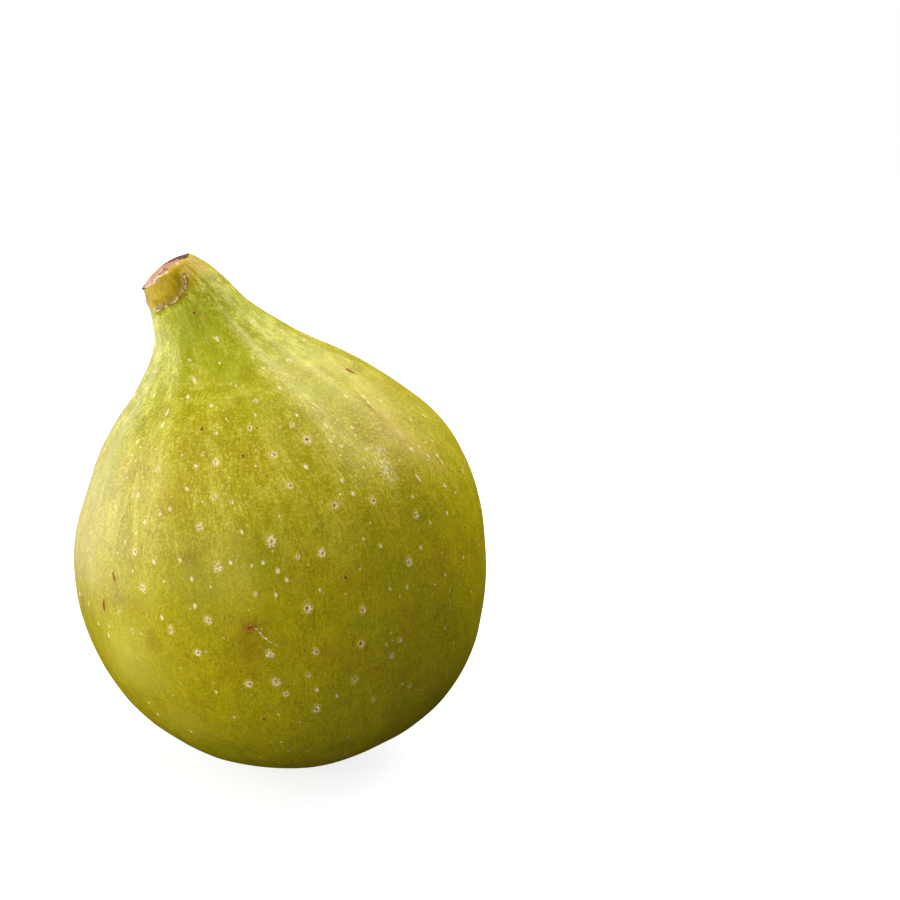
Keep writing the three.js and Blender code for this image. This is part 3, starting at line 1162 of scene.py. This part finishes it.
def white_sweep():
    """A white sweep that glows: it stays white far out, and its glow is turned down under the fruit
    as a painted shadow.
    """
    material, tree = new_material("white_sweep")
    place = add(tree, "TexCoord", output="Object")
    away = add(tree, "VectorMath", {0: place}, "Value", operation="LENGTH")
    # The glow rises from 0.82 within 40 mm of the middle to 1.1 at 160 mm, so the dimmer middle is
    # a painted shadow under the fruit
    span = {"From Min": 40 * MM, "From Max": 160 * MM, "To Min": 0.82, "To Max": 1.1}
    painted_sweep_glow = add(tree, "MapRange", {"Value": away, **span})
    shader = add(
        tree,
        "BsdfPrincipled",
        {
            "Base Color": (0.3, 0.3, 0.3, 1),
            "Roughness": 0.9,
            "Specular IOR Level": 0.0,
            "Emission Color": (1, 1, 1, 1),
            "Emission Strength": painted_sweep_glow,
        },
    )
    add(tree, "OutputMaterial", {"Surface": shader})
    return material


class FIG_OT_stage(bpy.types.Operator):
    """Set up the white floor, the soft lights and the photograph's camera"""

    bl_idname = "fig.stage"
    bl_label = "Stage"

    floor_side = 0.9
    fill = 0.2
    lamp_distance = 0.5
    lamp_width = 0.45
    # Each light as (name, degrees round from the camera towards the left, degrees up,
    # watts, whether it shows as a sheen on the skin)
    lamps = [
        ("left", 98, 2, 1.9, True),
        ("left_back", 135, 5, 0.7, True),
        ("back", 180, 50, 0.9, True),
        ("top_right", 235, 60, 1.25, True),
        ("right_back", 225, 40, 2.5, False),
        ("front_left", 60, 30, 1.05, False),
        ("low_front_left", 37, 5, 1.95, False),
        ("front", 340, 40, 0.2, False),
    ]

    def execute(self, context):
        scene = context.scene
        bpy.ops.mesh.primitive_plane_add(size=self.floor_side)
        floor = context.object
        floor.name = "floor"
        floor.data.materials.append(white_sweep())
        floor.visible_diffuse = False
        floor.visible_glossy = False
        for name, round_from_camera, up, watts, sheen in self.lamps:
            lamp = bpy.data.lights.new(name, "AREA")
            lamp.shape = "DISK"
            lamp.size = self.lamp_width
            lamp.energy = watts
            turn = Matrix.Rotation(-math.radians(round_from_camera), 3, "Z")
            toward = turn @ Matrix.Rotation(-math.radians(up), 3, "X") @ Vector((0, -1, 0))
            stand = bpy.data.objects.new(name, lamp)
            scene.collection.objects.link(stand)
            stand.location = BELLY_MIDDLE + toward * self.lamp_distance
            stand.rotation_euler = toward.to_track_quat("Z", "Y").to_euler()
            stand.visible_glossy = sheen
        # A pale room: plain white where the camera sees it, and a dim fill on the fruit
        world = bpy.data.worlds.new("pale_room")
        scene.world = world
        world.use_nodes = True
        tree = world.node_tree
        seen = add(tree, "LightPath", output="Is Camera Ray")
        strength = add(tree, "MapRange", {"Value": seen, "To Min": self.fill, "To Max": 1.0})
        background = tree.nodes["Background"]
        background.inputs["Color"].default_value = (1, 1, 1, 1)
        tree.links.new(strength, background.inputs["Strength"])
        world.cycles_visibility.glossy = False

        camera = bpy.data.cameras.new("camera")
        camera.lens = LENS / MM
        camera.sensor_width = SENSOR / MM
        camera.clip_start = 0.01
        camera.clip_end = 20
        holder = bpy.data.objects.new("camera", camera)
        scene.collection.objects.link(holder)
        eye, _, _, back = camera_axes()
        holder.location = eye
        holder.rotation_euler = back.to_track_quat("Z", "Y").to_euler()
        scene.camera = holder
        scene.view_settings.view_transform = "Standard"
        return {"FINISHED"}


class FIG_PT_panel(bpy.types.Panel):
    """Lists the steps that finish the fig"""

    bl_idname = "FIG_PT_panel"
    bl_label = "Fresh Fig"
    bl_space_type = "VIEW_3D"
    bl_region_type = "UI"
    bl_category = "Fig"

    def draw(self, context):
        for group in (context.scene.fig_sizes, context.scene.fig_colours):
            for name in group.__annotations__:
                self.layout.prop(group, name)
        for step in STEPS:
            self.layout.operator(step.bl_idname)


STEPS = (FIG_OT_skin, FIG_OT_cut_stalk, FIG_OT_specks, FIG_OT_stage)
CLASSES = (FigSizes, FigColours, *STEPS, FIG_PT_panel)


def register():
    for each in CLASSES:
        bpy.utils.register_class(each)
    bpy.types.Scene.fig_sizes = PointerProperty(type=FigSizes)
    bpy.types.Scene.fig_colours = PointerProperty(type=FigColours)


def unregister():
    del bpy.types.Scene.fig_colours
    del bpy.types.Scene.fig_sizes
    for each in reversed(CLASSES):
        bpy.utils.unregister_class(each)


def main():
    register()
    bpy.ops.fig.skin()
    bpy.ops.fig.cut_stalk()
    bpy.ops.fig.specks()
    bpy.ops.fig.stage()


if __name__ == "__main__":
    main()
